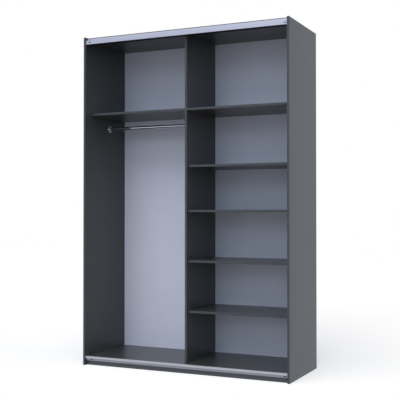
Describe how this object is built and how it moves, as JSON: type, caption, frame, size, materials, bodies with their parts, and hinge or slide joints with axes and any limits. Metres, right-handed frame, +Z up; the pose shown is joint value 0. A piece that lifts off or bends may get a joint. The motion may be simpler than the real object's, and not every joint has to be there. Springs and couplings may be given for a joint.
{
  "type": "sliding door wardrobe",
  "caption": "Tall graphite laminate wardrobe carcass for sliding doors, with a hanging bay, adjustable shelves, upper compartments, an overhead door track and a bottom guide rail.",
  "frame": {"origin": "on the floor, in the middle of the footprint", "axes": "+X along the width to the shelf bay's side, -Y out of the open front, +Z up"},
  "size_m": [1.6, 0.6, 2.42],
  "materials": {
    "laminate": "matt graphite laminate on chipboard",
    "edge_band": "matt graphite edge band",
    "back_sheet": "painted white fibreboard",
    "aluminium": "satin anodised",
    "chrome": "polished",
    "zinc": "zinc plated",
    "beech": "fluted beech",
    "black_plastic": "moulded, matt",
    "black_screw": "blackened"
  },
  "bodies": {
    "root": {"side_panel_left": "laminate", "side_panel_right": "laminate", "top_panel": "laminate", "bottom_panel": "laminate", "middle_board": "laminate", "partition_upper": "laminate", "partition_lower": "laminate", "plinth_front": "laminate", "plinth_rear": "laminate", "plinth_centre": "laminate", "back_sheet_left": "back_sheet", "back_sheet_right": "back_sheet", "edge_band_side_left": "edge_band", "edge_band_side_right": "edge_band", "edge_band_top": "edge_band", "edge_band_middle": "edge_band", "edge_band_partition_upper": "edge_band", "edge_band_partition_lower": "edge_band", "overhead_track": "aluminium", "track_screws": "zinc", "guide_rail": "aluminium", "hanging_rail": "chrome", "rail_flange_left": "chrome", "rail_flange_right": "chrome", "rail_flange_screws": "chrome", "cam_housings": "zinc", "cam_bolts": "zinc", "dowels": "beech", "back_nails": "zinc", "shelf_pins_1": "zinc", "shelf_pins_2": "zinc", "shelf_pins_3": "zinc", "shelf_pins_4": "zinc"},
    "shelf_1": {"shelf_1": "laminate", "shelf_band_1": "edge_band"},
    "shelf_2": {"shelf_2": "laminate", "shelf_band_2": "edge_band"},
    "shelf_3": {"shelf_3": "laminate", "shelf_band_3": "edge_band"},
    "shelf_4": {"shelf_4": "laminate", "shelf_band_4": "edge_band"},
    "track_stop_left": {"track_stop_left": "black_plastic", "track_stop_screw_left": "black_screw"},
    "track_stop_right": {"track_stop_right": "black_plastic", "track_stop_screw_right": "black_screw"},
    "guide_stop_left": {"guide_stop_left": "black_plastic", "guide_stop_screw_left": "black_screw"},
    "guide_stop_right": {"guide_stop_right": "black_plastic", "guide_stop_screw_right": "black_screw"}
  },
  "joints": [
    {"name": "shelf_1_slide", "type": "slide", "parent": "root", "child": "shelf_1", "axis": [0, -1, 0], "range_m": [0, 0.58]},
    {"name": "shelf_2_slide", "type": "slide", "parent": "root", "child": "shelf_2", "axis": [0, -1, 0], "range_m": [0, 0.58]},
    {"name": "shelf_3_slide", "type": "slide", "parent": "root", "child": "shelf_3", "axis": [0, -1, 0], "range_m": [0, 0.58]},
    {"name": "shelf_4_slide", "type": "slide", "parent": "root", "child": "shelf_4", "axis": [0, -1, 0], "range_m": [0, 0.58]},
    {"name": "track_stop_left_slide", "type": "slide", "parent": "root", "child": "track_stop_left", "axis": [1, 0, 0], "range_m": [-0.008, 0.008]},
    {"name": "track_stop_right_slide", "type": "slide", "parent": "root", "child": "track_stop_right", "axis": [1, 0, 0], "range_m": [-0.014, 0]},
    {"name": "guide_stop_left_slide", "type": "slide", "parent": "root", "child": "guide_stop_left", "axis": [1, 0, 0], "range_m": [-0.008, 0.008]},
    {"name": "guide_stop_right_slide", "type": "slide", "parent": "root", "child": "guide_stop_right", "axis": [1, 0, 0], "range_m": [-0.014, 0.004]}
  ]
}
